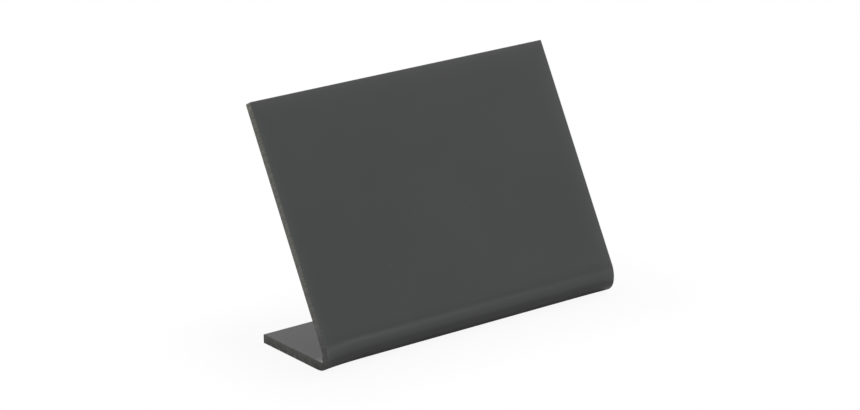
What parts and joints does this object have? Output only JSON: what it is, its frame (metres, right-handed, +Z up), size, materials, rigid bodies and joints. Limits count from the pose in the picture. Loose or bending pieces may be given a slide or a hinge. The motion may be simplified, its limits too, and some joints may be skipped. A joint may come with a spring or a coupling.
{
  "type": "tabletop chalkboard",
  "caption": "Small L-shaped tabletop chalkboard: one sheet of matt black acrylic, folded so that the writing board leans back over its own flat foot.",
  "frame": {"origin": "on the table, below the middle of the whole piece's box, level with the underside of the foot", "axes": "+X along the fold, +Y towards the back, where the board leans, +Z up; the writing face looks to -Y and a little up"},
  "size_m": [0.105, 0.0372, 0.0716],
  "materials": {
    "sheet": "matt black acrylic with a fine, slightly sheeny writing surface; saw-cut and scraped edges, a little greyer and warmer"
  },
  "bodies": {
    "root": {"folded_board": "sheet"}
  },
  "joints": []
}
